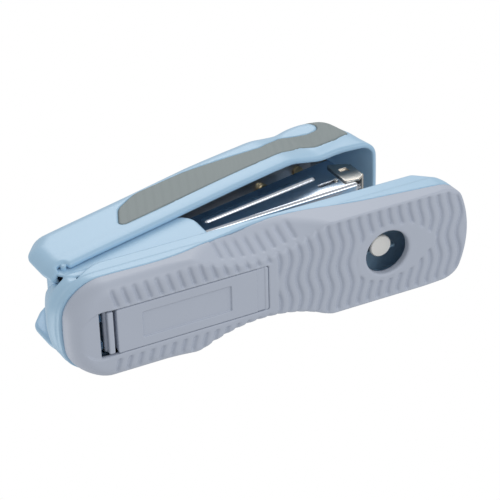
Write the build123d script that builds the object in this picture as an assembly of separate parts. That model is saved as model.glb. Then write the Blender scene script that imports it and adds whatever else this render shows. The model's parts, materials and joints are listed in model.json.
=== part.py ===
from build123d import *
import os
from math import atan2, cos, degrees, hypot, pi, radians

# Desk stapler, in millimetres. X runs forward to the nose, Y to the left, Z up.
# The origin is the centre of the base's footprint, on the desk.

# ---------------------------------------------------------------- driving dimensions
BASE_NOSE_X = 75.5
COVER_REAR_X = -72.6
FRAME_REAR_X = -75.8
BASE_HALF_REAR = 17.3
BASE_HALF_FRONT = 18.2
BASE_TOP = 17.0
WALL = 2.0
WALL_DRAFT = 2.5
COVER_FLOOR = 1.8
DECK_TOP = 16.4
DECK_THICK = 2.0

WAIST_X = -4.0
WAIST_HALF = 11.4
WAIST_R = 55.0
WAIST_LEAN = 21.5
GROOVE_PITCH = 3.87
GROOVE_WIDTH = 1.3
GROOVE_DEPTH = 0.7
GROOVE_WAVE = 0.8
GROOVE_PERIOD = 16.0

PIN_X = -57.0
PIN_Z = 28.0
PIN_R = 2.0
RUN_CLEARANCE = 0.05
MAGAZINE_TILT = 3.4
HANDLE_TILT = 15.5
BLADE_STROKE_DEG = 4.8
HANDLE_SWING_R = 17.8
EAR_REAR_R = 10.4
EAR_OUTER = 15.1
EAR_THICK = 2.4

HANDLE_HALF = 17.4
HANDLE_WALL = 1.9
GRIP_THICK = 0.9
SHOULDER_R = 9.0
ARM_HALF = 6.6
ARM_TOP = 9.8
ARM_SHEET = 1.2
HANDLE_SCREWS = [26.0, 88.0]
RIB_PLACES = [6.0, 46.0, 66.0, 102.0]
RIB_THICK = 1.2
POST_R = 3.4
BLADE_RIVET_X = 106.0
RIVET_HEAD_R = 2.2

CHANNEL_HALF = 7.6
SHEET = 0.8
BLADE_X = 111.3
BLADE_THICK = 0.6
BLADE_HALF = 6.2
WIRE = 0.5
CROWN_HALF = 6.4
STRIP_FRONT = 110.5
STRIP_REAR = 60.0
STAPLE_TOP = 8.0
STAPLE_HEIGHT = 6.4
RAIL_HALF = 5.8
RAIL_TOP = 7.4
RAIL_REAR = 18.0
RAIL_FRONT = 110.2
SPRING_TAB_X = 106.0
PUSHER_LENGTH = 10.0

ANVIL_X = 43.3
ANVIL_TOP = 17.3
ANVIL_THICK = 1.6
ANVIL_HALF_LENGTH = 14.0
ANVIL_HALF_WIDTH = 6.8
ANVIL_RECESS_R = 14.6
CLINCH_X = 10.7
BUTTON_R = 4.0
BUTTON_BOTTOM = 4.8
BUTTON_THICK = 1.6
STEM_R = 1.8
STEM_HEAD_R = 3.0
FINGER_HOLE_R = 8.2
FINGER_HOLE_RIM = 3.2

DOOR_REAR_X = -56.1
DOOR_FRONT_X = -2.1
DOOR_HALF = 8.2
DOOR_BOTTOM = 0.1
DOOR_THICK = 1.6
DOOR_HINGE_X = -3.1
DOOR_HINGE_Z = 0.9
DOOR_PIN_R = 0.6
LATCH_REAR_X = -62.0
BAY_HALF = 8.6
PLATE_BOTTOM = 12.2
PLATE_THICK = 1.2
SCREW_R = 1.2
PLATE_SCREWS = [(-40.0, 5.8), (-40.0, -5.8), (20.0, 5.8), (20.0, -5.8)]
LIFT_SPRING_X = -28.0

os.makedirs("parts", exist_ok=True)


def keep(name, shape):
    """Write one piece, or one group of identical pieces, to its own file."""
    solids = shape.solids()
    result = solids[0] if len(solids) == 1 else Compound(children=list(solids))
    export_step(result, f"parts/{name}.step")


def outline(points):
    """A closed face with rounded corners; each point is x, y and a corner radius."""
    face = make_face(Polyline(*[(x, y) for x, y, _ in points], close=True))
    for x, y, r in points:
        if r:
            corner = face.vertices().sort_by_distance((x, y, 0))[0]
            face = fillet(corner, r)
    return face


def block(x, y, z):
    """A box between two limits on each axis."""
    size = [hi - lo for lo, hi in (x, y, z)]
    middle = [(hi + lo) / 2 for lo, hi in (x, y, z)]
    return Pos(*middle) * Box(*size)


def side_slab(face, y_from, y_to):
    """Extrude a face drawn in X and Z between two Y positions."""
    return Pos(0, y_to, 0) * extrude(Plane.XZ * face, amount=y_to - y_from)


def both_sides(face, inner, outer):
    """The same side plate on the left and the right."""
    return side_slab(face, inner, outer) + side_slab(face, -outer, -inner)


def across(x, z, radius, y_from, y_to):
    """A round bar along Y."""
    bar = Cylinder(radius, y_to - y_from, rotation=(90, 0, 0))
    return Pos(x, (y_from + y_to) / 2, z) * bar


def upright(x, y, radius, z_from, z_to):
    """A round bar along Z."""
    return Pos(x, y, (z_from + z_to) / 2) * Cylinder(radius, z_to - z_from)


def rod(start, end, radius):
    """A round bar between two points of the X-Z plane at one Y."""
    dx = end[0] - start[0]
    dz = end[2] - start[2]
    middle = [(a + b) / 2 for a, b in zip(start, end)]
    turn = 90 - degrees(atan2(dz, dx))
    return Location(middle, (0, turn, 0)) * Cylinder(radius, hypot(dx, dz))


def at_pin(shape, tilt):
    """Place a shape drawn about the hinge pin, nose raised by tilt degrees."""
    return Location((PIN_X, 0, PIN_Z), (0, -tilt, 0)) * shape


def coil(radius, wire, length, turns):
    """A helical spring that stands on Z = 0; radius is to the wire's centre."""
    rise = length - 2 * wire
    path = Helix(pitch=rise / turns, height=rise, radius=radius)
    section = Plane(origin=path @ 0, z_dir=path % 0) * Circle(wire)
    return Pos(0, 0, wire) * sweep(section, path=path)


def screw(head_r, head_h, shank_r, length):
    """A cross-head screw, head below Z = 0 and shank above it."""
    body = upright(0, 0, head_r, -head_h, 0) + upright(0, 0, shank_r, 0, length)
    body = chamfer(body.edges().group_by(Axis.Z)[0], 0.3)
    arm = 1.2 * head_r
    cross = Box(0.6, arm, 1.2) + Box(arm, 0.6, 1.2)
    return body - Pos(0, 0, -head_h) * cross


# ---------------------------------------------------------------- base shells
def base_plan(rear_x):
    """The base seen from above: bowed ends, sides a little wider at the front."""
    rear_corner = rear_x + 2.2
    front_corner = BASE_NOSE_X - 6.6
    rear = ThreePointArc((rear_corner, BASE_HALF_REAR), (rear_x, 0), (rear_corner, -BASE_HALF_REAR))
    right = Line((rear_corner, -BASE_HALF_REAR), (front_corner, -BASE_HALF_FRONT))
    front = ThreePointArc((front_corner, -BASE_HALF_FRONT), (BASE_NOSE_X, 0), (front_corner, BASE_HALF_FRONT))
    left = Line((front_corner, BASE_HALF_FRONT), (rear_corner, BASE_HALF_REAR))
    face = make_face([rear, right, front, left])
    face = fillet(face.vertices().filter_by(lambda v: v.X < 0), 8.5)
    return fillet(face.vertices().filter_by(lambda v: v.X > front_corner - 1), 5.5)


def base_body(rear_x, inset=0.0, heel=0.0):
    """The outer form of the base, or that form shrunk by a wall; heel rounds its rear bottom edge."""
    plan = base_plan(rear_x)
    plan = offset(plan, -inset) if inset else plan
    solid = extrude(plan, BASE_TOP, taper=WALL_DRAFT)
    if not heel:
        return solid
    ahead = block((WAIST_X, 200), (-50, 50), (-50, 50))
    rounded = fillet(solid.edges().filter_by(lambda e: abs(e.center().Z) < 0.01), heel)
    return (rounded - ahead) + (solid & ahead)


def toe_slope():
    """Everything behind the base's sloping toe."""
    face = outline([(-90, -5, 0), (90, -5, 0), (76.0, 1.2, 1), (72.2, 6.0, 4), (61.5, BASE_TOP, 7),
                    (-90, BASE_TOP, 0)])
    return extrude(Plane.XZ * face, 40, both=True)


def below_parting():
    """Everything below the line between cover and frame, which is high at the waist."""
    top = Spline((-90, 8.2), (-58, 7.5), (-31, 7.6), (-13, 11.8), (3, 14.2), (17, 13.3), (34, 9.3), (50, 7.0),
                 (66, 4.9), (90, 2.6))
    edge = Polyline((90, 2.6), (90, -9), (-90, -9), (-90, 8.2))
    return extrude(Plane.XZ * make_face([top, edge]), 40, both=True)


def waist_tool(extra=0.0):
    """The two leaning cylinders that scoop the finger grips out of the cover."""
    axis_y = WAIST_HALF + WAIST_R / cos(radians(WAIST_LEAN))
    lean = Location((WAIST_X, axis_y, 0), (-WAIST_LEAN, 0, 0))
    left = lean * Cylinder(WAIST_R + extra, 60)
    return left + mirror(left, Plane.XZ)


def grip_grooves():
    """Eight short upright grooves in each finger grip."""
    tools = []
    for index in range(8):
        x = WAIST_X + (index - 3.5) * GROOVE_PITCH
        rise = WAIST_R - (WAIST_R ** 2 - (x - WAIST_X) ** 2) ** 0.5
        lean = Pos(x, WAIST_HALF + rise + 0.35, 0) * Rot(-WAIST_LEAN, 0, 0)
        bar = lean * Pos(0, 0, 6.6) * Cylinder(0.9, 8)
        tools += [bar, mirror(bar, Plane.XZ)]
    return tools


def wave_edge(x):
    """One edge of a wave groove, running across the base."""
    steps = [-20 + 4 * i for i in range(11)]
    return Spline(*[(x - GROOVE_WAVE * cos(2 * pi * y / GROOVE_PERIOD), y) for y in steps])


def wave_grooves():
    """Wavy anti-slip grooves under the cover, with smooth lands round hole, door and heel."""
    bands = []
    first = ANVIL_X + 20.3 - 31 * GROOVE_PITCH
    for index in range(34):
        x = first + index * GROOVE_PITCH
        rear = wave_edge(x - GROOVE_WIDTH / 2)
        front = wave_edge(x + GROOVE_WIDTH / 2)
        bands.append(make_face([rear, front, Line(rear @ 0, front @ 0), Line(rear @ 1, front @ 1)]))
    tool = extrude(Sketch(children=bands), GROOVE_DEPTH)
    door_land = block((-80, 1.6), (-10.4, 10.4), (-1, 3))
    hole_land = extrude(outline([(31.5, 9.5, 8), (52.5, 9.5, 9), (63.5, 0, 2), (52.5, -9.5, 9), (31.5, -9.5, 8)]), 3)
    heel_land = block((-90, -58), (-30, 30), (-1, 3))
    return tool - door_land - hole_land - heel_land


def base_cover():
    """Grey lower shell: floor, side walls up to the parting line, storage bay and finger hole."""
    solid = base_body(COVER_REAR_X, 0, 5.0) & below_parting() & toe_slope()
    cavity = Pos(0, 0, COVER_FLOOR) * (base_body(COVER_REAR_X, WALL, 3.2) & toe_slope())
    solid = solid - (cavity - waist_tool(WALL)) - waist_tool()
    bay = block((-54.6, -1.2), (-BAY_HALF - 1.2, BAY_HALF + 1.2), (COVER_FLOOR, PLATE_BOTTOM))
    bay -= block((-60, -2.4), (-BAY_HALF, BAY_HALF), (1, 20))
    solid = solid + bay + upright(ANVIL_X, 0, FINGER_HOLE_R + 2.6, 0.0, FINGER_HOLE_RIM)
    solid -= upright(ANVIL_X, 0, FINGER_HOLE_R, -1, 20)
    gap = 0.15
    solid -= block((DOOR_REAR_X - gap, DOOR_FRONT_X + 0.5), (-DOOR_HALF - gap, DOOR_HALF + gap), (-1, 4))
    solid -= block((LATCH_REAR_X, DOOR_REAR_X), (-BAY_HALF, BAY_HALF), (-1, 4))
    solid -= across(DOOR_HINGE_X, DOOR_HINGE_Z, DOOR_PIN_R + RUN_CLEARANCE, -9.2, 9.2)
    for tool in grip_grooves():
        solid -= tool
    return solid - wave_grooves()


def ear_face():
    """One ear of the frame, seen from the side."""
    return outline([(-69.4, 12.5, 0), (-11.5, 12.5, 0), (-11.5, 16.9, 0), (-14.6, 17.6, 2.5), (-15.0, 33, 6.5),
                    (-45, 34.5, 10), (-57, 35, 6), (-69.4, 31, 6)])


def base_frame():
    """Blue upper frame: rim, deck, ears for the hinge pin and the well that the handle's heel swings in."""
    outer = base_body(FRAME_REAR_X) & toe_slope()
    hollow = Pos(0, 0, DECK_TOP - DECK_THICK - BASE_TOP) * base_body(FRAME_REAR_X, WALL)
    hollow &= Pos(-1.5 * WALL, 0, 0) * toe_slope()
    tray = Pos(0, 0, DECK_TOP) * base_body(FRAME_REAR_X, WALL)
    solid = outer - below_parting() - hollow - tray
    solid += block((FRAME_REAR_X + 1.5, -60), (-14, 14), (9.5, DECK_TOP))
    solid += both_sides(ear_face(), EAR_OUTER - EAR_THICK, EAR_OUTER)
    swing = across(PIN_X, PIN_Z, HANDLE_SWING_R, -30, 30) - across(PIN_X, PIN_Z, EAR_REAR_R, -31, 31)
    solid -= swing & block((-90, -61.5), (-30, 30), (0, 60))
    solid -= across(PIN_X, PIN_Z, PIN_R, -30, 30)
    for x, y in PLATE_SCREWS:
        solid += upright(x, y, 2.6, PLATE_BOTTOM + PLATE_THICK, DECK_TOP - 1)
        solid -= upright(x, y, SCREW_R, 0, DECK_TOP - 1.0)
    solid += upright(LIFT_SPRING_X, 0, 2.8, DECK_TOP - 1, DECK_TOP + 3)
    solid -= upright(ANVIL_X, 0, ANVIL_RECESS_R, ANVIL_TOP - ANVIL_THICK, 30)
    return solid - upright(ANVIL_X, 0, STEM_R + RUN_CLEARANCE, 0, 30)


# ---------------------------------------------------------------- inside the base
def base_plate():
    """Steel plate that stiffens the base under the ears and behind the anvil."""
    face = outline([(-46, -9.8, 3), (27, -9.8, 3), (27, 9.8, 3), (-46, 9.8, 3)])
    plate = Pos(0, 0, PLATE_BOTTOM) * extrude(face, PLATE_THICK)
    for x, y in PLATE_SCREWS:
        plate -= upright(x, y, SCREW_R, 0, 30)
    return plate


def plate_screws():
    """Four screws that hold the steel plate up against the deck."""
    one = screw(2.4, 1.4, SCREW_R, PLATE_THICK + 1.8)
    return Compound(children=[Pos(x, y, PLATE_BOTTOM) * one for x, y in PLATE_SCREWS])


def hinge_pin():
    """Steel axle of magazine and handle, held in both ears."""
    pin = across(PIN_X, PIN_Z, PIN_R, -EAR_OUTER, EAR_OUTER)
    return chamfer(pin.edges(), 0.3)


def hinge_spacers():
    """Two bushes that centre the magazine between the ears."""
    inner = CHANNEL_HALF + 0.1
    outer = EAR_OUTER - EAR_THICK
    bush = across(PIN_X, PIN_Z, 3.6, inner, outer) - across(PIN_X, PIN_Z, PIN_R, 0, 30)
    return Compound(children=[bush, mirror(bush, Plane.XZ)])


def lift_spring():
    """Coil under the magazine that holds its nose up."""
    return Pos(LIFT_SPRING_X, 0, DECK_TOP) * coil(3.7, 0.45, 12.9, 6)


# ---------------------------------------------------------------- anvil
def anvil_plate():
    """Turning clinch plate: a closed pair of pockets at one end and an open pair at the other."""
    plate = upright(0, 0, ANVIL_HALF_LENGTH, 0, ANVIL_THICK)
    plate &= block((-20, 20), (-ANVIL_HALF_WIDTH, ANVIL_HALF_WIDTH), (0, ANVIL_THICK))
    for end, middle in ((1, 3.6), (-1, 4.6)):
        for side in (-1, 1):
            pocket = across(end * CLINCH_X, ANVIL_THICK + 1.6, 2.2, -1.7, 1.7)
            plate -= Pos(0, side * middle, 0) * pocket
    plate -= upright(0, 0, STEM_R + RUN_CLEARANCE, -1, 5)
    plate -= upright(0, 0, STEM_HEAD_R + RUN_CLEARANCE, ANVIL_THICK - 0.7, 5)
    return Pos(ANVIL_X, 0, ANVIL_TOP - ANVIL_THICK) * plate


def anvil_stem():
    """Riveted stem that lifts the anvil plate and that it turns on."""
    stem = upright(ANVIL_X, 0, STEM_R, BUTTON_BOTTOM + 0.6, ANVIL_TOP - 0.6)
    return stem + upright(ANVIL_X, 0, STEM_HEAD_R, ANVIL_TOP - 0.65, ANVIL_TOP - 0.1)


def anvil_button():
    """Disc at the foot of the stem, pressed up by a finger through the base."""
    disc = upright(ANVIL_X, 0, BUTTON_R, BUTTON_BOTTOM, BUTTON_BOTTOM + BUTTON_THICK)
    disc = chamfer(disc.edges().group_by(Axis.Z)[0], 0.35)
    return disc - upright(ANVIL_X, 0, STEM_R, BUTTON_BOTTOM + 0.6, 20)


def anvil_spring():
    """Coil round the stem that pulls the anvil back down."""
    bottom = BUTTON_BOTTOM + BUTTON_THICK
    return Pos(ANVIL_X, 0, bottom) * coil(2.7, 0.35, DECK_TOP - DECK_THICK - bottom, 5)


# ---------------------------------------------------------------- storage bay
def storage_door():
    """Snap door of the spare-staple bay, with a sprung latch tab at its rear and hinge pins at its front."""
    top = DOOR_BOTTOM + DOOR_THICK
    door = block((DOOR_REAR_X, DOOR_FRONT_X), (-DOOR_HALF, DOOR_HALF), (DOOR_BOTTOM, top))
    door -= block((-47.3, -15.65), (-4.8, 4.8), (DOOR_BOTTOM - 1, DOOR_BOTTOM + 0.3))
    door += across(DOOR_HINGE_X, DOOR_HINGE_Z, DOOR_PIN_R, -9.1, 9.1)
    tab = block((DOOR_REAR_X, DOOR_REAR_X + 1.1), (-7.6, 7.6), (top - 0.5, 6.4))
    tab += block((-59.2, DOOR_REAR_X + 1.1), (-7.6, 7.6), (5.3, 6.4))
    tab += block((-59.2, -57.2), (-7.9, 7.9), (0.3, 6.4))
    tab += across(-59.2, 3.2, 0.8, -7.9, 7.9)
    return door + tab


def staple_run(length, top):
    """A glued run of staples along X from X = 0, crowns up."""
    run = block((0, length), (-CROWN_HALF, CROWN_HALF), (top - STAPLE_HEIGHT, top))
    run -= block((-1, length + 1), (-CROWN_HALF + WIRE, CROWN_HALF - WIRE), (top - STAPLE_HEIGHT - 1, top - WIRE))
    return run


def spare_staples():
    """Spare run of staples lying in the bay."""
    return Pos(-50, 0, 2.2) * staple_run(20, STAPLE_HEIGHT)


# ---------------------------------------------------------------- magazine, drawn about the pin
def channel_face():
    """Side plate of the magazine channel: a lug at the pin and a top edge that rises to the nose."""
    plate = outline([(-4, 0.5, 1), (6, -0.0, 0), (108.7, 0, 1), (108.9, 20.9, 2), (50, 11.5, 0), (-4, 3.6, 1)])
    return plate + Circle(5)


def bead(y):
    """Long stiffening bead pressed outward in a side plate."""
    return rod((51, y, 6.6), (96, y, 12.1), 1.25)


def magazine_channel():
    """Bright steel channel that carries the staples and pivots on the pin."""
    inner = CHANNEL_HALF - SHEET
    sides = both_sides(channel_face(), inner, CHANNEL_HALF)
    floor = block((10, 108.7), (-CHANNEL_HALF, CHANNEL_HALF), (0, SHEET))
    ribs = bead(CHANNEL_HALF - 0.7) + bead(-CHANNEL_HALF + 0.7)
    ribs -= block((0, 120), (-inner, inner), (-5, 40))
    slot = side_slab(outline([(95.6, 5.1, 0.7), (103.8, 5.5, 0.7), (103.8, 7.0, 0.7), (95.6, 6.6, 0.7)]), -20, 20)
    solid = sides + floor + ribs - slot
    return solid - across(0, 0, PIN_R + RUN_CLEARANCE, -20, 20)


def nose_cap():
    """Plate folded round the nose; the blade comes down behind its front wall."""
    inner = CHANNEL_HALF + 0.02
    outer = inner + SHEET
    cheek = outline([(105.4, 16.6, 0.8), (112.4, 13.2, 1.2), (113.1, 3.7, 1), (110.2, 1.8, 0.8), (104.8, 2.8, 0.8)])
    cap = both_sides(cheek, inner, outer)
    cap += block((112.3, 113.1), (-outer, outer), (3.7, 12.4))
    mark = block((107.2, 110.4), (outer - 0.2, 20), (8.4, 11.2))
    return cap - mark - mirror(mark, Plane.XZ)


def cap_rivets():
    """Two rivets that fix the nose cap, set in the short slots of the channel."""
    rivet = across(103.0, 6.2, 0.7, 6.9, CHANNEL_HALF + 0.5)
    return Compound(children=[rivet, mirror(rivet, Plane.XZ)])


def staple_rail():
    """Inner rail that the staples straddle, slotted for the pusher's hook."""
    rail = block((RAIL_REAR, RAIL_FRONT), (-RAIL_HALF, RAIL_HALF), (SHEET, RAIL_TOP))
    rail -= block((0, 120), (-RAIL_HALF + SHEET, RAIL_HALF - SHEET), (0, RAIL_TOP - SHEET))
    rail -= block((RAIL_REAR + 4, STRIP_REAR + 1), (-1.7, 1.7), (0, 20))
    return rail + block((SPRING_TAB_X, SPRING_TAB_X + 1), (-RAIL_HALF, RAIL_HALF), (SHEET, RAIL_TOP))


def staple_strip():
    """Staples in use, from the pusher to the nose."""
    return Pos(STRIP_REAR, 0, 0) * staple_run(STRIP_FRONT - STRIP_REAR, STAPLE_TOP)


def pusher():
    """Follower that straddles the rail and presses the staples forward."""
    rear = STRIP_REAR - 0.1 - PUSHER_LENGTH
    front = STRIP_REAR - 0.1
    body = block((rear, front), (-CROWN_HALF, CROWN_HALF), (1.6, 9.6))
    body -= block((rear - 1, front + 1), (-RAIL_HALF - 0.1, RAIL_HALF + 0.1), (0, RAIL_TOP + 0.1))
    hook = block((front - 5, front - 2), (-1.5, 1.5), (2.6, RAIL_TOP + 0.2))
    return body + hook


def pusher_spring():
    """Extension spring inside the rail, from its front tab back to the pusher's hook."""
    rear = STRIP_REAR - 1.9
    length = SPRING_TAB_X - rear
    return Pos(rear, 0, 4.0) * Rot(0, 90, 0) * coil(1.5, 0.3, length, 24)


# ---------------------------------------------------------------- handle, drawn about the pin
def handle_side(inset):
    """The handle seen from the side, level, with its hooked heel and drooping nose."""
    face = outline([(-14.6, -8.2, 0.8), (-9.6, -5.5, 2), (90, -5.5, 30), (108, -9.8, 20), (121.5, -14.6, 1.5),
                    (124.6, -13.0, 1.5), (124.6, 6, 12), (108, 19.2, 18), (60, 18.6, 60), (-3, 17.0, 8),
                    (-13.2, 9, 8), (-16.4, -3.8, 4)])
    return offset(face, -inset) if inset else face


def handle_plan(inset):
    """The handle seen from above: straight, then pinched behind the rounded nose."""
    half = HANDLE_HALF
    right = [(-16.6, -half, 7), (90, -half, 14), (101.5, -14.9, 9), (111, -15.9, 12), (124.6, -15.6, 8.5)]
    left = [(x, -y, r) for x, y, r in reversed(right)]
    face = outline(right + left)
    return offset(face, -inset) if inset else face


def handle_section(inset):
    """The handle seen from behind: round shoulders."""
    half = HANDLE_HALF
    face = outline([(-half, -20, 0), (half, -20, 0), (half, 19.2, SHOULDER_R), (-half, 19.2, SHOULDER_R)])
    return offset(face, -inset) if inset else face


def handle_form(inset):
    """The handle's solid form, or that form shrunk by inset."""
    side = extrude(Plane.XZ * handle_side(inset), 30, both=True)
    plan = extrude(handle_plan(inset), 60, both=True)
    section = extrude(Plane.YZ * handle_section(inset), 160, both=True)
    return side & plan & section


def grip_band():
    """The side region that the grip covers: both flanks, and over the top at the nose."""
    face = outline([(17, 1.2, 2), (92, 1.4, 12), (104, -4.6, 14), (117.5, -6.2, 3), (121.8, 7.2, 4), (117, 25, 0),
                    (106, 25, 0), (104, 9.5, 5), (90, 13.6, 20), (34, 14.4, 14), (17, 6, 4)])
    return extrude(Plane.XZ * face, 30, both=True)


def handle_grip():
    """Soft grip inlay, one horseshoe piece that runs along both flanks and over the nose."""
    skin = handle_form(0) - handle_form(GRIP_THICK)
    return skin & grip_band()


def screw_post(x):
    """Post under the roof that takes one handle screw."""
    return upright(x, 0, POST_R, ARM_TOP, 18.0)


def handle_shell():
    """Blue handle: a long cap with skirts, ribs under its roof and two screw posts."""
    outer = handle_form(0)
    below = block((-12.0, 122.4), (-HANDLE_HALF + HANDLE_WALL, HANDLE_HALF - HANDLE_WALL), (-40, 3))
    inside = handle_form(HANDLE_WALL) + (below & extrude(handle_plan(HANDLE_WALL), 60, both=True))
    posts = [screw_post(x) for x in HANDLE_SCREWS]
    ribs = [block((x, x + RIB_THICK), (-14.2, 14.2), (ARM_TOP + 1.0, 16.0)) for x in RIB_PLACES]
    shell = outer - inside
    for extra in posts + ribs:
        shell += extra & outer
    for x in HANDLE_SCREWS:
        shell -= upright(x, 0, SCREW_R, 0, 16.2)
    return shell - handle_grip()


def driver_arm():
    """Steel arm under the handle's roof: it drives the blade and pivots on the pin."""
    web = block((-4, 112.9), (-ARM_HALF, ARM_HALF), (ARM_TOP - ARM_SHEET, ARM_TOP))
    flange = outline([(-5.2, 0, 2), (-4.4, ARM_TOP, 1), (108, ARM_TOP, 1), (108, 7.2, 1), (9, 7.2, 2), (5.2, 0, 2),
                      (0, -5.2, 4.5)])
    arm = web + both_sides(flange, ARM_HALF - ARM_SHEET, ARM_HALF)
    arm -= across(0, 0, PIN_R + RUN_CLEARANCE, -20, 20)
    for x in HANDLE_SCREWS + [BLADE_RIVET_X]:
        arm -= upright(x, 0, SCREW_R, 0, 30)
    return arm


def driver_blade():
    """Blade that drives one staple, with a flange riveted on the arm."""
    pressed = HANDLE_TILT - MAGAZINE_TILT - BLADE_STROKE_DEG
    blade = block((BLADE_X - BLADE_THICK / 2, BLADE_X + BLADE_THICK / 2), (-BLADE_HALF, BLADE_HALF), (-0.2, 28.0))
    blade = Rot(0, pressed, 0) * blade
    blade -= block((90, 130), (-20, 20), (ARM_TOP + SHEET, 40))
    flange = block((102.5, 113.7), (-BLADE_HALF, BLADE_HALF), (ARM_TOP, ARM_TOP + SHEET))
    flange -= upright(BLADE_RIVET_X, 0, SCREW_R, 0, 30)
    return blade + flange


def blade_rivet():
    """Rivet through the blade's flange and the arm."""
    rivet = upright(BLADE_RIVET_X, 0, SCREW_R, ARM_TOP - ARM_SHEET - 0.5, ARM_TOP + SHEET + 0.5)
    rivet += upright(BLADE_RIVET_X, 0, RIVET_HEAD_R, ARM_TOP + SHEET, ARM_TOP + SHEET + 0.9)
    return rivet + upright(BLADE_RIVET_X, 0, RIVET_HEAD_R, ARM_TOP - ARM_SHEET - 0.9, ARM_TOP - ARM_SHEET)


def handle_screws():
    """Two screws that hold the arm to the handle's posts."""
    one = screw(2.4, 1.4, SCREW_R, 5.0)
    return Compound(children=[Pos(x, 0, ARM_TOP - ARM_SHEET) * one for x in HANDLE_SCREWS])


def handle_spring():
    """Wire spring coiled round the pin, with a leg under the arm and a leg on the magazine."""
    wire = 0.4
    winding = Rot(90, 0, 0) * Pos(0, 0, -4.0) * coil(2.9, wire, 8.0, 6)
    upper = rod((0, -3.4, 2.9), (15, -3.4, ARM_TOP - ARM_SHEET - wire - 0.1), wire)
    lower = Rot(0, HANDLE_TILT - MAGAZINE_TILT, 0) * rod((0, 3.4, -2.9), (9.2, 3.4, 0.3), wire)
    return winding + upper + lower


# ---------------------------------------------------------------- all pieces
for name, make in [("base_cover", base_cover), ("base_frame", base_frame), ("base_plate", base_plate),
                   ("plate_screws", plate_screws), ("hinge_pin", hinge_pin), ("hinge_spacers", hinge_spacers),
                   ("lift_spring", lift_spring), ("anvil_plate", anvil_plate), ("anvil_stem", anvil_stem),
                   ("anvil_button", anvil_button), ("anvil_spring", anvil_spring),
                   ("storage_door", storage_door), ("spare_staples", spare_staples)]:
    keep(name, make())
for name, make in [("magazine_channel", magazine_channel), ("nose_cap", nose_cap), ("cap_rivets", cap_rivets),
                   ("staple_rail", staple_rail), ("staple_strip", staple_strip), ("pusher", pusher),
                   ("pusher_spring", pusher_spring)]:
    keep(name, at_pin(make(), MAGAZINE_TILT))
for name, make in [("handle_shell", handle_shell), ("handle_grip", handle_grip), ("driver_arm", driver_arm),
                   ("driver_blade", driver_blade), ("blade_rivet", blade_rivet), ("handle_screws", handle_screws),
                   ("handle_spring", handle_spring)]:
    keep(name, at_pin(make(), HANDLE_TILT))
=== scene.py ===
import json
import math

import bpy
import numpy as np
from mathutils import Matrix, Vector


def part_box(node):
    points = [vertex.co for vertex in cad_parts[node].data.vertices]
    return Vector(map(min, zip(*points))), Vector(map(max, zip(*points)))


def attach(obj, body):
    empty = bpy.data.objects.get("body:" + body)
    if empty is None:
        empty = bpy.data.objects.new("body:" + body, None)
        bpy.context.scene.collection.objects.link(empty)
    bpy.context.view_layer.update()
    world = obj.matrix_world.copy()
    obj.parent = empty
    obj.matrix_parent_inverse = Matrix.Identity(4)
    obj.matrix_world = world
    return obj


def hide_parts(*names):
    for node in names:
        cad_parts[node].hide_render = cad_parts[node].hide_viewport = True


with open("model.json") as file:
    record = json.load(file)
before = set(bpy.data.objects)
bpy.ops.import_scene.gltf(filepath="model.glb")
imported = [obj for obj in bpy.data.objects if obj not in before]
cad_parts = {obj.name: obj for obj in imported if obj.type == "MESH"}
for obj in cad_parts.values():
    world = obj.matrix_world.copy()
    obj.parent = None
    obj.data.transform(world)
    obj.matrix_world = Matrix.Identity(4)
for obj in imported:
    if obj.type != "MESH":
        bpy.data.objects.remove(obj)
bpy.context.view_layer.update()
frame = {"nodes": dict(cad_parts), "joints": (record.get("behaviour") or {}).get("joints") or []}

# Each shell is written as a field: a distance in millimetres, negative inside the material. skin() turns the
# field's zero surface into a mesh. Handle and magazine fields are drawn level about the hinge pin.
MM = 0.001


def limits(node):
    """Lowest and highest corner of a CAD node, in millimetres."""
    low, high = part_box(node)
    return np.array(low) / MM, np.array(high) / MM


joints = {joint["name"]: joint for joint in frame["joints"]}
PIN = np.array(joints["handle_hinge"]["pos_m"]) / MM
slide_axis = joints["pusher_slide"]["axis"]
MAGAZINE_TILT = math.atan2(slide_axis[2], slide_axis[0])
HANDLE_TILT = math.radians(15.5)
cover_low, cover_high = limits("base_cover")
frame_low, frame_high = limits("base_frame")
door_low, door_high = limits("storage_door")
button_low, button_high = limits("anvil_button")

NOSE_X = cover_high[0]
COVER_REAR_X = cover_low[0]
BASE_TOP = 17.0
WALL = 2.0
FLOOR = 1.8
DECK_TOP = 16.4
DRAFT = math.tan(math.radians(2.5))
HOLE_X = (button_low[0] + button_high[0]) / 2
HOLE_R = 8.2
DOOR_HALF = 8.2
DOOR_REAR_X = -56.1
DOOR_FRONT_X = -2.1
LATCH_REAR_X = -62.0


# ---------------------------------------------------------------- fields
def meet(a, b, r=0.0):
    """What is inside both, with the edge between them rounded to radius r."""
    if np.ndim(r) == 0 and not r:
        return np.maximum(a, b)
    return np.minimum(-r, np.maximum(a, b)) + np.hypot(np.maximum(r + a, 0), np.maximum(r + b, 0))


def join(a, b, r=0.0):
    """What is inside either, with the corner between them filled to radius r."""
    return -meet(-a, -b, r)


def cut(a, b, r=0.0):
    """What is inside a and outside b."""
    return meet(a, -b, r)


def fade(value, start, end):
    """Smooth ramp from 0 at start to 1 at end."""
    t = np.clip((value - start) / (end - start), 0, 1)
    return t * t * (3 - 2 * t)


def curve(points):
    """A smooth function of one variable through a few points."""
    xs, ys = np.array(points, float).T
    slopes = np.gradient(ys, xs)

    def at(x):
        x = np.clip(x, xs[0], xs[-1])
        i = np.clip(np.searchsorted(xs, x) - 1, 0, len(xs) - 2)
        width = xs[i + 1] - xs[i]
        t = (x - xs[i]) / width
        near = (1 + 2 * t) * (1 - t) ** 2 * ys[i] + t * (1 - t) ** 2 * width * slopes[i]
        far = t * t * (3 - 2 * t) * ys[i + 1] + t * t * (t - 1) * width * slopes[i + 1]
        return near + far

    return at


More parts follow.
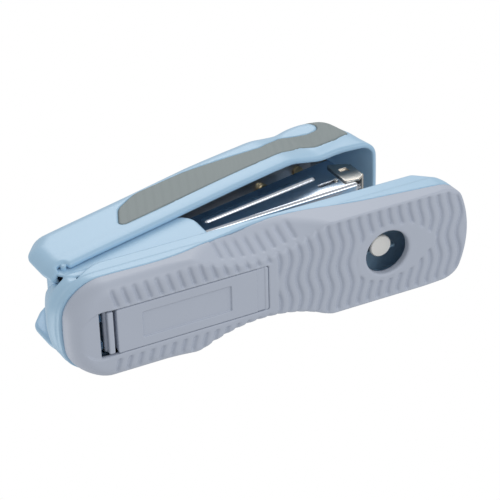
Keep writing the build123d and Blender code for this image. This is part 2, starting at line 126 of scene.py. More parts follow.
def rect(u, v, us, vs, r=0.0):
    """Rounded rectangle between two limits on each axis."""
    du = np.abs(u - (us[0] + us[1]) / 2) - (us[1] - us[0]) / 2 + r
    dv = np.abs(v - (vs[0] + vs[1]) / 2) - (vs[1] - vs[0]) / 2 + r
    return np.hypot(np.maximum(du, 0), np.maximum(dv, 0)) + np.minimum(np.maximum(du, dv), 0) - r


def brick(x, y, z, xs, ys, zs, r=0.0, edge=0.0):
    """Block with upright corners of radius r and top and bottom edges of radius edge."""
    height = np.abs(z - (zs[0] + zs[1]) / 2) - (zs[1] - zs[0]) / 2
    return meet(rect(x, y, xs, ys, r), height, edge)


def outline(points, steps=6):
    """Corner points (u, v, radius) made into a polygon with arcs."""
    spots = []
    for index, (u, v, r) in enumerate(points):
        here = np.array([u, v], float)
        before = np.array(points[index - 1][:2], float) - here
        after = np.array(points[(index + 1) % len(points)][:2], float) - here
        before /= np.linalg.norm(before)
        after /= np.linalg.norm(after)
        half = math.acos(np.clip(before @ after, -1, 1)) / 2
        if not r:
            spots.append(here)
            continue
        reach = r / math.tan(half)
        centre = here + (before + after) / np.linalg.norm(before + after) * r / math.sin(half)
        first = here + before * reach - centre
        last = here + after * reach - centre
        for t in np.linspace(0, 1, steps):
            arm = first * (1 - t) + last * t
            spots.append(centre + arm / np.linalg.norm(arm) * r)
    return np.array(spots)


def polygon(u, v, corners):
    """Distance to a closed polygon, negative inside."""
    nearest = np.inf
    inside = False
    for (u0, v0), (u1, v1) in zip(corners, np.roll(corners, -1, 0)):
        du, dv = u1 - u0, v1 - v0
        along = np.clip(((u - u0) * du + (v - v0) * dv) / (du * du + dv * dv), 0, 1)
        nearest = np.minimum(nearest, (u - u0 - along * du) ** 2 + (v - v0 - along * dv) ** 2)
        if dv:
            inside = inside ^ (((v0 > v) != (v1 > v)) & (u < du * (v - v0) / dv + u0))
    return np.where(inside, -1, 1) * np.sqrt(nearest)


# ---------------------------------------------------------------- from field to piece
OFF_GRID = 2.371  # keeps flat faces off the grid's planes


def surface(field, low, high, cell):
    """Vertices and quads on the field's zero surface, one vertex to each cell that the surface crosses."""
    ticks = [np.arange(a - OFF_GRID * cell, b + 2 * cell, cell) for a, b in zip(low, high)]
    value = np.array(np.broadcast_to(field(*np.meshgrid(*ticks, indexing="ij", sparse=True)),
                                     [len(t) for t in ticks]))
    stride = np.array([value.shape[1] * value.shape[2], value.shape[2], 1])
    cells, spots = [], []
    for axis in range(3):
        lower = [slice(None)] * 3
        upper = [slice(None)] * 3
        lower[axis] = slice(None, -1)
        upper[axis] = slice(1, None)
        at = np.argwhere((value[tuple(lower)] < 0) != (value[tuple(upper)] < 0))
        first = value[tuple(at.T)]
        step = np.eye(3, dtype=int)[axis]
        second = value[tuple((at + step).T)]
        spot = at + step * (first / (first - second))[:, None]
        u, v = np.eye(3, dtype=int)[[(axis + 1) % 3, (axis + 2) % 3]]
        ring = np.stack([at, at - u, at - u - v, at - v], 1) @ stride
        ring[first > 0] = ring[first > 0][:, ::-1]
        cells.append(ring)
        spots.append(np.repeat(spot, 4, axis=0))
    cells = np.concatenate(cells)
    spots = np.concatenate(spots)
    names, index = np.unique(cells.ravel(), return_inverse=True)
    index = index.ravel()
    count = np.bincount(index)
    vertices = np.stack([np.bincount(index, spots[:, k]) / count for k in range(3)], 1)
    vertices = vertices * cell + [t[0] for t in ticks]
    return settle(field, vertices, cell), index.reshape(-1, 4)


def settle(field, vertices, cell):
    """Move each vertex along the field's slope until it lies on the surface."""
    step = 0.1 * cell
    for _ in range(3):
        here = field(*vertices.T)
        slope = np.stack([(field(*(vertices + step * e).T) - field(*(vertices - step * e).T)) / (2 * step)
                          for e in np.eye(3)], 1)
        size = np.maximum((slope ** 2).sum(1), 0.3)
        move = -slope * (here / size)[:, None]
        reach = np.linalg.norm(move, axis=1, keepdims=True)
        vertices = vertices + move * np.minimum(1, 0.5 * cell / np.maximum(reach, 1e-9))
    return vertices


def about_pin(vertices, tilt):
    """Turn level vertices nose-up about the hinge pin."""
    x, y, z = vertices.T
    turned = [x * math.cos(tilt) - z * math.sin(tilt), y, x * math.sin(tilt) + z * math.cos(tilt)]
    return np.stack(turned, 1) + PIN


def skin(name, field, low, high, cell, finish, body, nodes, tilt=None):
    """Build one piece from its field, with its finish, its body and the CAD nodes that it stands for."""
    vertices, quads = surface(field, low, high, cell)
    if tilt is not None:
        vertices = about_pin(vertices, tilt)
    mesh = bpy.data.meshes.new(name)
    mesh.vertices.add(len(vertices))
    mesh.vertices.foreach_set("co", (vertices * MM).ravel())
    mesh.loops.add(quads.size)
    mesh.loops.foreach_set("vertex_index", quads.ravel())
    mesh.polygons.add(len(quads))
    mesh.polygons.foreach_set("loop_start", np.arange(0, quads.size, 4))
    mesh.update(calc_edges=True)
    mesh.validate()
    mesh.shade_smooth()
    mesh.materials.append(finish)
    piece = bpy.data.objects.new(name, mesh)
    bpy.context.scene.collection.objects.link(piece)
    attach(piece, body)
    if nodes:
        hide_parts(*nodes)
    return piece


# ---------------------------------------------------------------- finishes
BROAD_SCALE = 45
GRAIN_STRENGTH = 0.6
BAND_LENGTH = 0.314  # a wave texture at scale s repeats every 0.314 / s metres


def finish(name, colour, roughness, metallic=0.0, grain=0.4, depth=0.02, shade=0.04, spread=0.06, turn=0.0,
           stretch=(1, 1, 1), ribs=None):
    """Procedural finish: fine grain in the bump, drifting colour and roughness, ribs if asked for."""
    material = bpy.data.materials.new(name)
    material.use_nodes = True
    tree = material.node_tree
    shader = tree.nodes["Principled BSDF"]
    shader.inputs["Metallic"].default_value = metallic

    def node(kind, **settings):
        made = tree.nodes.new(kind)
        for key, value in settings.items():
            setattr(made, key, value)
        return made

    def noise(scale, detail):
        made = node("ShaderNodeTexNoise")
        made.inputs["Scale"].default_value = scale
        made.inputs["Detail"].default_value = detail
        tree.links.new(placed.outputs["Vector"], made.inputs["Vector"])
        return made.outputs["Fac"]

    coords = node("ShaderNodeTexCoord")
    placed = node("ShaderNodeMapping")
    placed.inputs["Rotation"].default_value = (0, turn, 0)
    placed.inputs["Scale"].default_value = stretch
    tree.links.new(coords.outputs["Object"], placed.inputs["Vector"])
    fine = noise(1 / (grain * MM), 3)
    broad = noise(BROAD_SCALE, 2)

    mix = node("ShaderNodeMix", data_type="RGBA")
    darker, lighter = [socket for socket in mix.inputs if socket.type == "RGBA"]
    darker.default_value = (*[c * (1 - shade) for c in colour], 1)
    lighter.default_value = (*[min(c * (1 + shade), 1) for c in colour], 1)
    tree.links.new(broad, mix.inputs["Factor"])
    mixed = [socket for socket in mix.outputs if socket.type == "RGBA"][0]
    tree.links.new(mixed, shader.inputs["Base Color"])

    rough = node("ShaderNodeMapRange")
    rough.inputs["To Min"].default_value = max(roughness - spread, 0.02)
    rough.inputs["To Max"].default_value = min(roughness + spread, 1)
    tree.links.new(fine, rough.inputs["Value"])
    tree.links.new(rough.outputs["Result"], shader.inputs["Roughness"])

    bump = node("ShaderNodeBump")
    bump.inputs["Strength"].default_value = GRAIN_STRENGTH
    bump.inputs["Distance"].default_value = depth * MM
    tree.links.new(fine, bump.inputs["Height"])
    last = bump
    if ribs:
        pitch, slant, height = ribs
        lay = node("ShaderNodeMapping")
        lay.inputs["Rotation"].default_value = (0, turn + slant, 0)
        tree.links.new(coords.outputs["Object"], lay.inputs["Vector"])
        wave = node("ShaderNodeTexWave", wave_type="BANDS", bands_direction="X", wave_profile="SIN")
        wave.inputs["Scale"].default_value = BAND_LENGTH / (pitch * MM)
        tree.links.new(lay.outputs["Vector"], wave.inputs["Vector"])
        last = node("ShaderNodeBump")
        last.inputs["Distance"].default_value = height * MM
        tree.links.new(wave.outputs["Fac"], last.inputs["Height"])
        tree.links.new(bump.outputs["Normal"], last.inputs["Normal"])
    tree.links.new(last.outputs["Normal"], shader.inputs["Normal"])
    return material


BLUE = (0.40, 0.61, 0.80)
GREY = (0.48, 0.53, 0.63)
GRIP = (0.26, 0.305, 0.31)
RIB_PITCH = 3.1
RIB_SLANT = math.radians(-35.7)
STAPLE_PITCH = 0.7
blue_plastic = finish("blue_plastic", BLUE, 0.36, grain=0.5, depth=0.012, shade=0.02)
grey_plastic = finish("grey_plastic", GREY, 0.5, grain=0.35, depth=0.03, shade=0.03)
grip_rubber = finish("grip_rubber", GRIP, 0.62, grain=0.25, depth=0.05, shade=0.03, turn=HANDLE_TILT,
                     ribs=(RIB_PITCH, RIB_SLANT, 0.12))
polished = finish("polished_steel", (0.62, 0.66, 0.72), 0.14, 1.0, grain=0.5, depth=0.002, shade=0.02,
                  spread=0.05, turn=MAGAZINE_TILT, stretch=(0.04, 1, 1))
zinc = finish("zinc_steel", (0.60, 0.61, 0.64), 0.34, 1.0, grain=0.8, depth=0.006, shade=0.08)
nickel = finish("nickel", (0.62, 0.58, 0.52), 0.24, 1.0, grain=0.6, depth=0.004, shade=0.06)
wire_steel = finish("spring_steel", (0.52, 0.53, 0.55), 0.28, 1.0, grain=0.3, depth=0.004)
staple_wire = finish("staple_wire", (0.66, 0.67, 0.70), 0.3, 1.0, grain=0.6, depth=0.004,
                     turn=MAGAZINE_TILT, ribs=(STAPLE_PITCH, 0.0, 0.12))
brass = finish("brass", (0.72, 0.58, 0.34), 0.32, 1.0, grain=0.5, depth=0.004, shade=0.1)
nylon = finish("white_nylon", (0.80, 0.80, 0.77), 0.45, grain=0.5, depth=0.01)
speckled = finish("button_zinc", (0.86, 0.86, 0.84), 0.55, 0.35, grain=0.35, depth=0.05, shade=0.12,
                  spread=0.2)


# ---------------------------------------------------------------- base
# Outline from above and from the side. PARTING is the height of the seam between the two shells.
BASE_HALF = 18.0
SIDE_FLARE = 0.002
NOSE_BOW_R = 37.0
REAR_BOW_R = 69.1
NOSE_CORNER_R = 4.6
HEEL_CORNER_R = 12
TOE = outline([(-90, -5, 0), (90, -5, 0), (76.4, 2.6, 1.2), (73.0, 6.8, 4), (61.5, BASE_TOP, 1.2),
               (-90, BASE_TOP, 0)])
PARTING = curve([(-90, 8.2), (-58, 7.5), (-31, 7.6), (-13, 11.8), (3, 14.2), (17, 13.3), (34, 9.3),
                 (50, 7.0), (60, 5.7), (66, 5.0), (70.7, 5.1), (74, 6.3), (90, 12)])
PARTING_GAP = 0.08
REAR_BULGE = curve([(0, 3.4), (7.5, 2.0), (11, 0.5), (13.5, 0.1), (16, 0.4), (20, 1.5), (24, 2.6)])
HEEL_ROUND = 17.5

# Finger grips, scooped out by leaning cylinders.
WAIST_X = -4.0
WAIST_HALF = 11.4
WAIST_R = 55.0
WAIST_LEAN = math.radians(21.5)

# Ears that hold the hinge pin.
EAR = outline([(-69.4, 12.5, 0), (-11.5, 12.5, 0), (-11.5, 16.9, 0), (-14.6, 17.6, 2.5), (-15.0, 33, 6.5),
               (-45, 34.5, 10), (-57, 35, 6), (-69.4, 31, 6)])
EAR_OUTER = 15.1
EAR_MIDDLE = 13.9
EAR_HALF = 1.2
EAR_REAR_R = 14.6
EAR_ROOT_R = 12
EAR_ROOT_SHEET = 0.7

# Rear wall, cut back in arcs about the pin for the handle's heel, with a hump between its two lobes.
LEDGE = curve([(-90, 8.6), (-71, 9.2), (-67, 10.6), (-63.5, 12.2), (-60, 14.4), (-56.5, 16.2),
               (-52, 17.4), (0, 18)])
LEDGE_REACH = 26.0
HEEL_SWEEP_R = 18.0
WELL_X = -61.5
WELL_Z = 9.5
HUMP_R = 14.8
HUMP_TOP = 23.4
HUMP_HALF = 11.9
LINER_INNER = 12.5
LINER_FRONT = -54
LINER_TOP = 16

# Fittings of the upper shell: the lift spring's boss, the catch blocks for the door's latch, the anvil's
# recess, and a rib and the stem's hole above the finger hole.
SPRING_BOSS_X = -28
SPRING_BOSS_R = 2.8
SPRING_BOSS_HALF = 2.4
CATCH_X = (-62.6, -60.6)
CATCH_Z = (1.9, 9)
CATCH_Y = 5.2
CATCH_HALF = 1.5
RECESS_R = 14.6
RECESS_Z = 15.7
RIB_HALF_X = 7.8
RIB_Y = (3.2, 4.4)
RIB_Z = (8.5, 15)
STEM_HOLE_R = 1.85
STEM_HOLE_Z = 4.0

# Underside: the plain land and rim round the finger hole, the grooves, the storage bay and its door gap.
HOLE_LAND = outline([(31.5, 9.5, 8), (52.5, 9.5, 9), (63.5, 0, 2), (52.5, -9.5, 9), (31.5, -9.5, 8)])
RIM_WIDTH = 2.6
RIM_Z = 1.7
RIM_HALF_Z = 1.5
DOOR_LAND_X = (-90, 1.4)
DOOR_LAND_Y = (-8.9, 10.2)
GROOVE_PITCH = 3.87
GROOVE_POWER = 2.5
WAVE_START = HOLE_X + 20.3
WAVE_SWAY = 0.8
WAVE_PERIOD = 16.0
WAVE_DEPTH = 0.95
GRIP_DEPTH = 0.8
GRIP_GROOVES = 8
BAY_SHEET = 1.2
BAY_X = (-54.6, -1.2)
BAY_HALF = 9.8
BAY_TOP = 12.1
GAP_Z = (-2, 4)
DOOR_GAP_HALF = 8.45
LATCH_GAP_HALF = 8.6
DISH_X = -60.3
DISH_R = 8.8
DISH_FRONT_X = -56
DISH_DEPTH = 0.5


def plan(x, y, z, rear):
    """The base seen from above, with bowed ends and drafted sides."""
    sides = np.abs(y) - BASE_HALF - SIDE_FLARE * x
    nose = np.hypot(np.maximum(x - NOSE_X + NOSE_BOW_R, 0), y) - NOSE_BOW_R
    heel = np.hypot(np.minimum(x - rear - REAR_BOW_R, 0), y) - REAR_BOW_R
    return meet(meet(sides, nose, NOSE_CORNER_R), heel, HEEL_CORNER_R) + z * DRAFT


def waist(x, y, z):
    """Distance outside the leaning cylinders that scoop out the finger grips."""
    across = (np.abs(y) - WAIST_HALF) * math.cos(WAIST_LEAN) - z * math.sin(WAIST_LEAN) - WAIST_R
    return np.hypot(x - WAIST_X, across) - WAIST_R


def bottom_edge(x):
    """Radius of the edge round the base's underside, crisp in the middle and softest at the heel."""
    return 0.6 + 4.0 * fade(x, -14, -40) + 2.6 * fade(x, -58, -70) + 1.2 * fade(x, 56, 72)


def groove(phase):
    """Profile of the repeated grooves, 1 at each whole phase and 0 between."""
    return (0.5 + 0.5 * np.cos(2 * np.pi * phase)) ** GROOVE_POWER


def waves(x, y):
    """Depth of the wave grooves under the base, none on the lands round hole, door and heel."""
    phase = (x - WAVE_START + WAVE_SWAY * np.cos(2 * np.pi * y / WAVE_PERIOD)) / GROOVE_PITCH
    depth = WAVE_DEPTH * groove(phase)
    door_land = rect(x, y, DOOR_LAND_X, DOOR_LAND_Y, 1)
    land = join(polygon(x, y, HOLE_LAND), door_land)
    from_edge = -plan(x, y, 0, COVER_REAR_X) - 0.35 * bottom_edge(x)
    inward = fade(from_edge, 0, 1.6)
    return depth * fade(land, -0.2, 0.8) * fade(x, -58.5, -57) * inward


def grip_grooves(x, z):
    """Depth of the short upright grooves in each finger grip."""
    depth = GRIP_DEPTH * groove((x - WAIST_X) / GROOVE_PITCH + 0.5)
    half_span = GRIP_GROOVES / 2 * GROOVE_PITCH
    span = fade(np.abs(x - WAIST_X), half_span + 0.3, half_span - 0.6)
    return depth * span * fade(z, 2.2, 4.2) * fade(z, 11.4, 9.2)


def cover_field(x, y, z):
    """Grey lower shell with wave grooves, finger grips, finger hole and storage bay."""
    below = waves(x, y) - z
    outer = meet(plan(x, y, z, COVER_REAR_X), below, bottom_edge(x))
    scoop = waist(x, y, z)
    outer = meet(outer, grip_grooves(x, z) - scoop, 1.0)
    outer = meet(outer, z - PARTING(x), 0.35)
    outer = meet(outer, polygon(x, z, TOE), 0.5)
    hollow = meet(plan(x, y, z, COVER_REAR_X) + WALL, FLOOR - z, 3)
    hollow = meet(hollow, WALL - scoop)
    solid = cut(outer, hollow, 0.3)
    bay = brick(x, y, z, BAY_X, (-BAY_HALF, BAY_HALF), (1, BAY_TOP))
    store_half = BAY_HALF - BAY_SHEET
    bay = cut(bay, brick(x, y, z, (-60, BAY_X[1] - BAY_SHEET), (-store_half, store_half), (0.5, 20)))
    from_hole = np.hypot(x - HOLE_X, y)
    rim = meet(from_hole - HOLE_R - RIM_WIDTH, np.abs(z - RIM_Z) - RIM_HALF_Z)
    solid = join(join(solid, bay), rim)
    solid = cut(solid, from_hole - HOLE_R, 0.9)
    dish = meet(np.hypot(x - DISH_X, y) - DISH_R, z - DISH_DEPTH)
    solid = cut(solid, meet(dish, x - DISH_FRONT_X), 0.5)
    door_length = (DOOR_REAR_X - 0.15, DOOR_FRONT_X + 0.2)
    door_gap = brick(x, y, z, door_length, (-DOOR_GAP_HALF, DOOR_GAP_HALF), GAP_Z, 0.4)
    latch_length = (LATCH_REAR_X, DOOR_REAR_X + 1)
    latch_gap = brick(x, y, z, latch_length, (-LATCH_GAP_HALF, LATCH_GAP_HALF), GAP_Z, 0.4)
    return cut(solid, join(door_gap, latch_gap), 0.25)


def frame_field(x, y, z):
    """Blue upper shell with deck, ears and the well for the handle's heel."""
    rear = frame_low[0] + REAR_BULGE(z)
    heel = np.hypot(np.minimum(x - rear - HEEL_ROUND, 0), y * fade(z, 3, 12) * 0.96) - HEEL_ROUND
    around = meet(plan(x, y, z, rear), heel, 2)
    outer = meet(around, z - BASE_TOP, 1.1)
    outer = meet(outer, polygon(x, z, TOE), 0.7)
    outer = meet(outer, PARTING(x) + PARTING_GAP - z, 0.3)
    hollow = meet(meet(around + WALL, z - DECK_TOP + WALL), polygon(x + 3.0, z, TOE))
    tray = meet(around + WALL, DECK_TOP - z, 0.6)
    solid = cut(cut(outer, hollow), tray, 0.5)
    from_pin = np.hypot(x - PIN[0], z - PIN[2])
    behind = meet(x - WELL_X, WELL_Z - z)
    beside = EAR_OUTER + 0.1 - np.abs(y)
    solid = cut(solid, meet(LEDGE(x) - z, meet(beside, from_pin - LEDGE_REACH)), 0.4)
    fill = meet(meet(around, HEEL_SWEEP_R - from_pin, 0.4), meet(np.abs(y) - EAR_OUTER, z - BASE_TOP, 0.4))
    ears = meet(polygon(x, z, EAR), np.abs(np.abs(y) - EAR_MIDDLE) - EAR_HALF, 0.5)
    ears = cut(ears, meet(behind, meet(EAR_ROOT_R - from_pin, np.abs(y) - EAR_OUTER + EAR_ROOT_SHEET)))
    ears = cut(ears, meet(behind, EAR_REAR_R - from_pin))
    liner = meet(around, LINER_INNER - np.abs(y))
    liner = meet(liner, meet(HEEL_SWEEP_R - from_pin, meet(x - LINER_FRONT, z - LINER_TOP)))
    solid = join(solid, meet(liner, PARTING(x) + 1 - z))
    hump = meet(z - HUMP_TOP, np.abs(y) - HUMP_HALF, 1.8)
    hump = meet(meet(around, HUMP_R - from_pin, 0.4), hump, 0.7)
    solid = join(solid, meet(behind, join(fill, hump, 0.8)), 0.3)
    solid = join(solid, ears, 1.2)
    boss = meet(np.hypot(x - SPRING_BOSS_X, y) - SPRING_BOSS_R, np.abs(z - BASE_TOP) - SPRING_BOSS_HALF, 0.6)
    solid = join(solid, boss, 0.4)
    for middle in (-CATCH_Y, CATCH_Y):
        width = (middle - CATCH_HALF, middle + CATCH_HALF)
        solid = join(solid, brick(x, y, z, CATCH_X, width, CATCH_Z, 0.4, 0.3))
    from_hole = np.hypot(x - HOLE_X, y)
    recess = meet(from_hole - RECESS_R, RECESS_Z - z, 0.3)
    rib = brick(x, y, z, (HOLE_X - RIB_HALF_X, HOLE_X + RIB_HALF_X), RIB_Y, RIB_Z, 0.2, 0.2)
    solid = cut(join(solid, rib), recess)
    return cut(solid, meet(from_hole - STEM_HOLE_R, STEM_HOLE_Z - z))


# ---------------------------------------------------------------- storage door
DOOR_SHEET = (0.1, 1.7)
LABEL_X = (-47.3, -15.65)
LABEL_HALF = 4.8
LABEL_DEPTH = 0.65
STEP_X = -4.8
STEP_HALF = 1.4
STEP_DEPTH = 0.35
DOOR_PIN = (-3.1, 0.9)
DOOR_PIN_R = 0.6
DOOR_PIN_END = 9.1
LATCH_HALF = 7.6
LATCH_SHEET = 1.1
LATCH_TOP = 6.4
TAB_HALF = 7.9
TAB_X = (-59.2, -57.2)
RIDGE_Z = 3.2
RIDGE_R = 0.8


def door_field(x, y, z):
    """Snap door of the storage bay with its sprung latch tab."""
    door = brick(x, y, z, (DOOR_REAR_X, DOOR_FRONT_X), (-DOOR_HALF, DOOR_HALF), DOOR_SHEET, 0.5, 0.22)
    label = meet(rect(x, y, LABEL_X, (-LABEL_HALF, LABEL_HALF), 0.4), z - LABEL_DEPTH)
    door = cut(door, label, 0.15)
    step = meet(np.abs(x - STEP_X) - STEP_HALF, z - STEP_DEPTH)
    door = cut(door, step, 0.1)
    pins = meet(np.hypot(x - DOOR_PIN[0], z - DOOR_PIN[1]) - DOOR_PIN_R, np.abs(y) - DOOR_PIN_END, 0.15)
    latch_width = (-LATCH_HALF, LATCH_HALF)
    riser_front = DOOR_REAR_X + LATCH_SHEET
    riser = brick(x, y, z, (DOOR_REAR_X, riser_front), latch_width, (1.2, LATCH_TOP), 0, 0.3)
    bridge_z = (LATCH_TOP - LATCH_SHEET, LATCH_TOP)
    bridge = brick(x, y, z, (TAB_X[0], riser_front), latch_width, bridge_z, 0, 0.3)
    tab = brick(x, y, z, TAB_X, (-TAB_HALF, TAB_HALF), (0.3, LATCH_TOP), 0.3, 0.4)
    ridge = meet(np.hypot(x - TAB_X[0], z - RIDGE_Z) - RIDGE_R, np.abs(y) - TAB_HALF, 0.3)
    latch = join(join(riser, bridge, 0.5), join(tab, ridge, 0.4), 0.3)
    return join(join(door, pins), latch, 0.3)


skin("cover_shell", cover_field, cover_low, cover_high, 0.45, grey_plastic, "base",
     ["base_cover"])
skin("upper_shell", frame_field, frame_low, frame_high, 0.5, blue_plastic, "base",
     ["base_frame"])
skin("bay_door", door_field, door_low, door_high, 0.3, grey_plastic, "door",
     ["storage_door"])


# ---------------------------------------------------------------- magazine
# Outlines from the side, level about the pin: the channel's cheek and the plate folded round its nose.
CHEEK = outline([(-4, 0.5, 1), (6, 0, 0), (108.7, 0, 1), (108.9, 20.9, 2), (50, 11.5, 0), (-4, 3.6, 1)])
CAP = outline([(105.4, 16.6, 0.8), (112.4, 13.2, 1.2), (113.1, 3.7, 1), (110.2, 1.8, 0.8),
               (104.8, 2.8, 0.8)])
CHANNEL_HALF = 7.6
SHEET = 0.8
PIVOT_R = 5
PIN_HOLE_R = 2.05
BEAD_START = (51, 6.6)
BEAD_END = (96, 12.1)
BEAD_R = 1.45
BEAD_SUNK = 0.45
SLOT_START = (96.4, 5.8)
SLOT_END = (103, 6.2)
SLOT_R = 0.75
CAP_FRONT_X = (112.3, 113.1)
CAP_FRONT_Z = (3.7, 12.4)
MARK_X = (107.2, 110.4)
MARK_Z = (8.4, 11.2)
MARK_DEPTH = 0.6


def capsule(u, v, start, end, r):
    """Distance to a thick line in one plane."""
    du, dv = end[0] - start[0], end[1] - start[1]
    along = np.clip(((u - start[0]) * du + (v - start[1]) * dv) / (du * du + dv * dv), 0, 1)
    return np.hypot(u - start[0] - along * du, v - start[1] - along * dv) - r


def channel_field(x, y, z):
    """Folded steel channel with a pressed bead on each side."""
    side = np.abs(y)
    folded = meet(side - CHANNEL_HALF, -z, 1.5)
    inside = meet(side - CHANNEL_HALF + SHEET, SHEET - z, 0.7)
    inside = join(inside, meet(x - 10, side - CHANNEL_HALF + SHEET))
    from_pin = np.hypot(x, z)
    plate = join(polygon(x, z, CHEEK), from_pin - PIVOT_R)
    lug = meet(np.maximum(side - CHANNEL_HALF, CHANNEL_HALF - SHEET - side), from_pin - PIVOT_R)
    sheet = join(meet(cut(folded, inside), plate, 0.15), lug)
    bead_line = np.maximum(capsule(x, z, BEAD_START, BEAD_END, 0.35), 0)
    bead = np.hypot(bead_line, side - CHANNEL_HALF + BEAD_SUNK) - BEAD_R
    sheet = join(sheet, meet(bead, CHANNEL_HALF - SHEET - side), 0.2)
    slot = capsule(x, z, SLOT_START, SLOT_END, SLOT_R)
    return cut(cut(sheet, slot, 0.15), from_pin - PIN_HOLE_R)


def cap_field(x, y, z):
    """Plate folded round the magazine's nose."""
    side = np.abs(y)
    inner = CHANNEL_HALF + 0.02
    cheeks = meet(polygon(x, z, CAP), np.abs(side - inner - SHEET / 2) - SHEET / 2, 0.2)
    front = meet(rect(x, z, CAP_FRONT_X, CAP_FRONT_Z), side - inner - SHEET, 0.2)
    mark = meet(rect(x, z, MARK_X, MARK_Z, 0.2), inner + SHEET - MARK_DEPTH - side)
    return cut(join(cheeks, front, 0.1), mark, 0.1)


channel_low = (-6, -8.6, -5.5)
channel_high = (109, 8.6, 22)
cap_low = (104, -9, 1)
cap_high = (114, 9, 18)
skin("staple_channel", channel_field, channel_low, channel_high, 0.3, polished, "magazine",
     ["magazine_channel"], MAGAZINE_TILT)
skin("channel_cap", cap_field, cap_low, cap_high, 0.17, nickel, "magazine",
     ["nose_cap"], MAGAZINE_TILT)


# ---------------------------------------------------------------- handle
# Outlines from the side, level about the pin: the whole handle, all above its open rim, and the grip.
HANDLE_SIDE = outline([(-16.6, -30, 0), (123.9, -30, 0), (124.0, 11, 9), (112, 19.5, 18), (60, 20.6, 60),
                       (-5.5, 19.2, 10), (-14.4, 12, 9), (-16.8, 0, 9)])
RIM = outline([(-30, -5.8, 0), (-12.4, -5.8, 0.6), (-11.7, -3.4, 1), (-9.2, -4.0, 1), (-8.4, -6.5, 0.8),
               (90, -6.5, 30), (108, -9.8, 20), (121.5, -14.6, 1.5), (140, -14.6, 0), (140, 60, 0),
               (-30, 60, 0)])
BAND = outline([(17.2, 0.3, 1.5), (96, 0.5, 6), (100.4, 0.9, 2), (104.6, -2.8, 4), (112, -4.5, 6),
                (119.2, -4.6, 1.5), (122, 6, 4), (120, 25, 0), (114.5, 25, 0), (115, 5, 3), (108.5, 6, 5),
                (100.5, 11.4, 4), (88, 8.2, 6), (56, 13.6, 40), (36, 14.6, 10), (24.5, 9.8, 8)])
HANDLE_HALF = curve([(-20, 17.0), (-8, 17.3), (30, 17.4), (82, 17.4), (90, 17.1), (97, 15.7), (102, 14.9),
                     (107, 15.3), (112, 15.8), (126, 15.7)])

# Outer form: flanks that curve in from their widest height, a lip along the rim, an arched roof and a
# saddle between the heel lobes.
HANDLE_WALL = 1.9
GRIP_THICK = 0.9
SHOULDER_R = 7.5
FLANK_CURVE = 0.0015
FLANK_LIP = 0.3
LIP_Z = -3.2
LIP_WIDTH = 3.0
FLANK_WIDEST_Z = 4
ROOF_ARCH = 0.002
NOSE_SHOULDER_CUT = 1.5
SADDLE_X = -12.2
SADDLE_HALF = 12.4

# Peg in the rim's notch, and the screw posts and ribs under the roof.
PEG = (-9.9, -4.9)
PEG_R = 0.95
PEG_MIDDLE = 15.6
POSTS = [26.0, 88.0]
POST_R = 3.4
POST_BOTTOM = 9.9
RIBS = [6.0, 46.0, 66.0, 102.0]
RIB_HALF = 0.6
RIB_BOTTOM = 10.8


def cap_form(x, y, z):
    """The handle's outer form without its open bottom."""
    lip = FLANK_LIP * np.exp(-((z - LIP_Z) / LIP_WIDTH) ** 2)
    flank = np.abs(y) - HANDLE_HALF(x) + FLANK_CURVE * (z - FLANK_WIDEST_Z) ** 2 - lip
    round_off = SHOULDER_R - NOSE_SHOULDER_CUT * fade(x, 110, 119)
    form = meet(polygon(x, z, HANDLE_SIDE) + ROOF_ARCH * y ** 2, flank, round_off)
    lean = np.maximum(0.3 * (z + 2), 0.66 * z - 0.8)
    saddle = meet(x - SADDLE_X - lean, np.abs(y) - SADDLE_HALF, 3)
    return cut(form, saddle, 2.0)


def shell_field(x, y, z):
    """Blue handle shell with its pocket for the grip, and ribs and posts under the roof."""
    form = cap_form(x, y, z)
    outer = meet(form, polygon(x, z, RIM), 1.1)
    shell = cut(outer, form + HANDLE_WALL, 0.4)
    pocket = meet(-form - GRIP_THICK, polygon(x, z, BAND) - 0.06, 0.1)
    shell = cut(shell, pocket, 0.12)
    under_roof = form + 1.0
    peg = meet(np.hypot(x - PEG[0], z - PEG[1]) - PEG_R, np.abs(np.abs(y) - PEG_MIDDLE) - 1.1, 0.2)
    shell = join(shell, peg, 0.2)
    for post in POSTS:
        stalk = meet(np.hypot(x - post, y) - POST_R, POST_BOTTOM - z, 0.3)
        shell = join(shell, meet(stalk, under_roof), 0.5)
    for rib in RIBS:
        web = meet(np.abs(x - rib - RIB_HALF) - RIB_HALF, RIB_BOTTOM - z, 0.2)
        shell = join(shell, meet(web, under_roof), 0.4)
    return shell


def grip_field(x, y, z):
    """Grip inlay in the handle's flanks and over its nose."""
    form = cap_form(x, y, z)
    return meet(meet(form - 0.05, -form - GRIP_THICK + 0.04), polygon(x, z, BAND) + 0.05, 0.3)


handle_low = (-18, -18.4, -16)
handle_high = (126, 18.4, 20.5)
grip_low = (16, -18.4, -7)
grip_high = (123, 18.4, 20.5)
skin("handle_cap", shell_field, handle_low, handle_high, 0.52, blue_plastic, "handle",
     ["handle_shell"], HANDLE_TILT)
skin("grip_inlay", grip_field, grip_low, grip_high, 0.42, grip_rubber, "handle",
     ["handle_grip"], HANDLE_TILT)


# ---------------------------------------------------------------- finishes of the CAD pieces that stay
FINISHES = {
    "anvil_plate": polished, "anvil_stem": polished, "hinge_pin": polished, "driver_blade": polished,
    "base_plate": zinc, "plate_screws": zinc, "staple_rail": zinc, "pusher": zinc, "driver_arm": zinc,
    "anvil_spring": wire_steel, "lift_spring": wire_steel, "pusher_spring": wire_steel,
    "handle_spring": wire_steel, "spare_staples": staple_wire, "staple_strip": staple_wire,
    "blade_rivet": brass, "handle_screws": brass, "cap_rivets": nickel, "hinge_spacers": nylon,
    "anvil_button": speckled}
for node, look in FINISHES.items():
    mesh = frame["nodes"][node].data
    mesh.materials.clear()
    mesh.materials.append(look)

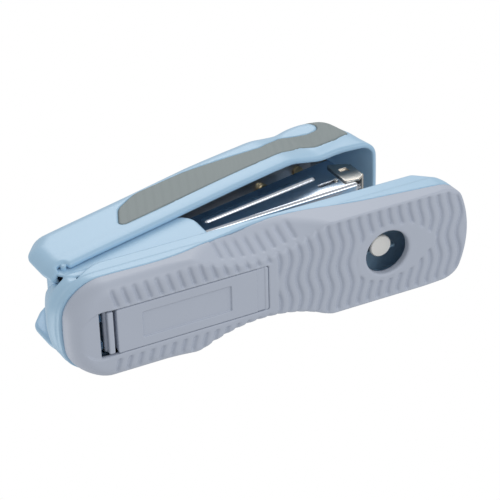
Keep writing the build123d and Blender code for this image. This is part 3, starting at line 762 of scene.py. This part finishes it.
# ---------------------------------------------------------------- camera, light and floor
CAMERA_PLACE = (-0.2352, -0.3330, -0.4640)
CAMERA_RIGHT = Vector((0.89187, 0.02365, -0.45167))
CAMERA_UP = Vector((0.25409, -0.85235, 0.45710))
LENS_MM = 134.98

# The plain backdrop is brighter to the camera than the light that it sheds on the object.
SKY_LIGHT = 0.58
BACKDROP_LIGHT = 1.0
LAMP_SIZE = 0.5
FLOOR_HALF = 4.0
FLOOR_DROP = 0.0002

camera = bpy.data.objects.new("camera", bpy.data.cameras.new("camera"))
bpy.context.scene.collection.objects.link(camera)
axes = Matrix((CAMERA_RIGHT, CAMERA_UP, CAMERA_RIGHT.cross(CAMERA_UP))).transposed()
camera.matrix_world = Matrix.Translation(CAMERA_PLACE) @ axes.to_4x4()
camera.data.lens = LENS_MM
camera.data.clip_start = 0.01
bpy.context.scene.camera = camera

world = bpy.data.worlds.new("studio")
bpy.context.scene.world = world
world.use_nodes = True
world_tree = world.node_tree
sky = world_tree.nodes["Background"]
sky.inputs["Color"].default_value = (1, 1, 1, 1)
seen = world_tree.nodes.new("ShaderNodeLightPath")
level = world_tree.nodes.new("ShaderNodeMapRange")
level.inputs["To Min"].default_value = SKY_LIGHT
level.inputs["To Max"].default_value = BACKDROP_LIGHT
world_tree.links.new(seen.outputs["Is Camera Ray"], level.inputs["Value"])
world_tree.links.new(level.outputs["Result"], sky.inputs["Strength"])


def lamp(name, place, aim, power):
    """A soft square lamp that faces a point."""
    light = bpy.data.lights.new(name, "AREA")
    light.size = LAMP_SIZE
    light.energy = power
    made = bpy.data.objects.new(name, light)
    bpy.context.scene.collection.objects.link(made)
    made.location = place
    made.rotation_euler = (Vector(aim) - Vector(place)).to_track_quat("-Z", "Y").to_euler()


lamp("key_above", (0.25, -0.55, 0.75), (0, 0, 0.03), 2.2)
lamp("fill_below", (0.35, -0.5, -0.6), (0.02, 0, 0.03), 1.9)
lamp("rear_soft", (-0.7, 0.4, 0.3), (-0.05, 0, 0.03), 1.5)

# The floor shows its upper side only, because the camera looks up through it.
floor_mesh = bpy.data.meshes.new("floor")
floor_corners = [(-1, -1), (1, -1), (1, 1), (-1, 1)]
floor_spots = [(u * FLOOR_HALF, v * FLOOR_HALF, 0) for u, v in floor_corners]
floor_mesh.from_pydata(floor_spots, [], [(0, 1, 2, 3)])
floor = bpy.data.objects.new("floor", floor_mesh)
bpy.context.scene.collection.objects.link(floor)
floor.location.z = -FLOOR_DROP
floor.visible_diffuse = False
floor.visible_glossy = False
floor.visible_shadow = False
floor_look = bpy.data.materials.new("pale_floor")
floor_look.use_nodes = True
tree = floor_look.node_tree
paper = tree.nodes["Principled BSDF"]
paper.inputs["Base Color"].default_value = (0.86, 0.87, 0.88, 1)
paper.inputs["Roughness"].default_value = 0.9
clear = tree.nodes.new("ShaderNodeBsdfTransparent")
side = tree.nodes.new("ShaderNodeNewGeometry")
pick = tree.nodes.new("ShaderNodeMixShader")
tree.links.new(side.outputs["Backfacing"], pick.inputs["Fac"])
tree.links.new(paper.outputs["BSDF"], pick.inputs[1])
tree.links.new(clear.outputs["BSDF"], pick.inputs[2])
tree.links.new(pick.outputs["Shader"], tree.nodes["Material Output"].inputs["Surface"])
floor_mesh.materials.append(floor_look)

bpy.context.scene.view_settings.view_transform = "Standard"
